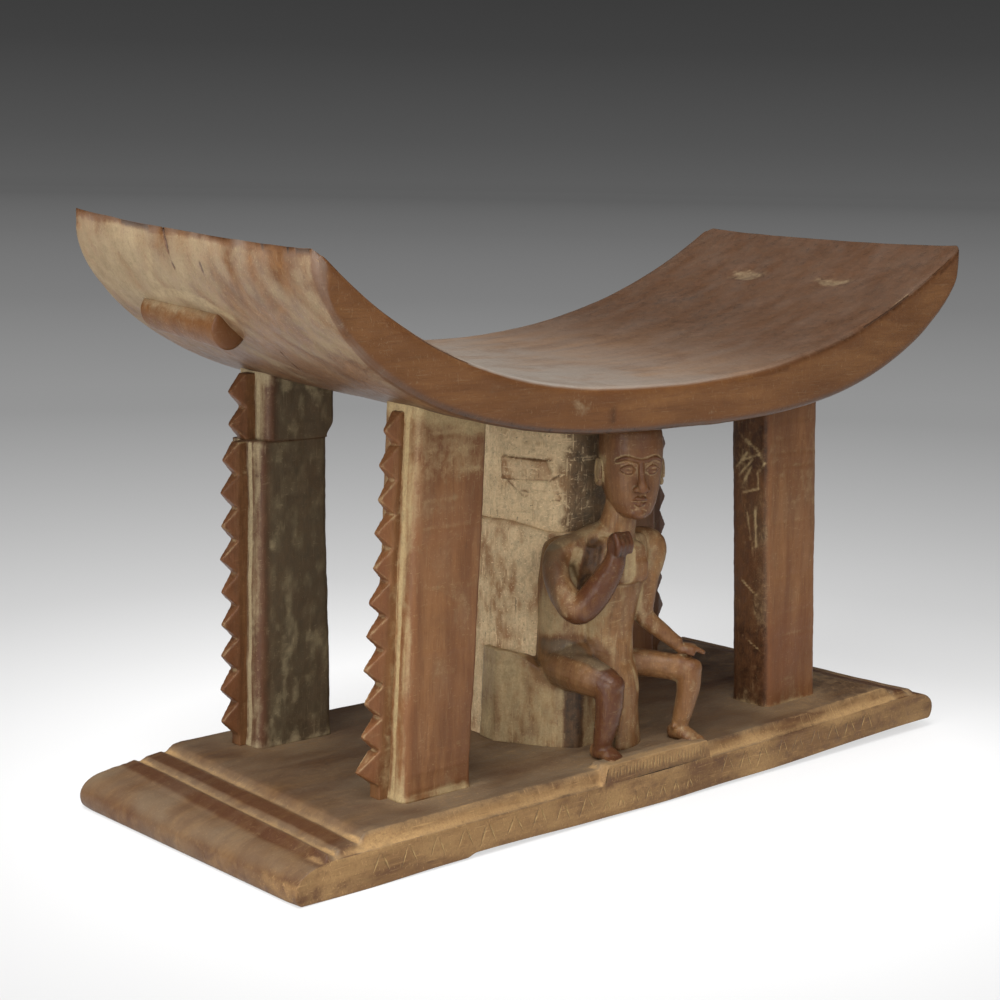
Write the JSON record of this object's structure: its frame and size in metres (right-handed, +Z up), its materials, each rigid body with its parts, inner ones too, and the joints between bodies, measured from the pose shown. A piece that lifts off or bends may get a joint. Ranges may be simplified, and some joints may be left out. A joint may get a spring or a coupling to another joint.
{
  "type": "stool",
  "caption": "Carved wooden stool: a crescent seat on a round column and corner posts with saw-toothed combs, a seated figure in front, on a long low base.",
  "frame": {"origin": "on the floor, under the middle of the base", "axes": "+X along the stool's length, towards the lower horn; the seated figure faces -Y; +Z up"},
  "size_m": [0.576, 0.236, 0.3665],
  "materials": {
    "seat_wood": "worn, softly polished",
    "base_wood": "worn, dull",
    "post_wood": "worn, dull, with pale residue in the recesses",
    "column_wood": "matt, dusted with pale clay",
    "figure_wood": "worn, softly polished"
  },
  "bodies": {
    "root": {"base_slab": "base_wood", "base_plateau": "base_wood", "footrest_block": "base_wood", "column_lower": "column_wood", "column_upper": "column_wood", "column_relief": "column_wood", "post_front_left": "post_wood", "comb_front_left": "post_wood", "post_front_right": "post_wood", "comb_front_right": "post_wood", "post_back_left": "post_wood", "comb_back_left": "post_wood", "post_back_left_cap": "post_wood", "comb_back_left_cap": "post_wood", "post_back_right": "post_wood", "comb_back_right": "post_wood", "figure_throne": "figure_wood", "figure_lap": "figure_wood", "figure_torso": "figure_wood", "figure_chest": "figure_wood", "figure_neck": "figure_wood", "figure_head": "figure_wood", "figure_right_arm": "figure_wood", "figure_right_hand": "figure_wood", "figure_right_thigh": "figure_wood", "figure_right_shin": "figure_wood", "figure_right_foot": "figure_wood", "figure_left_arm": "figure_wood", "figure_left_hand": "figure_wood", "figure_left_thigh": "figure_wood", "figure_left_shin": "figure_wood", "figure_left_foot": "figure_wood", "seat": "seat_wood", "seat_lug_left": "seat_wood", "seat_lug_right": "seat_wood"}
  },
  "joints": []
}
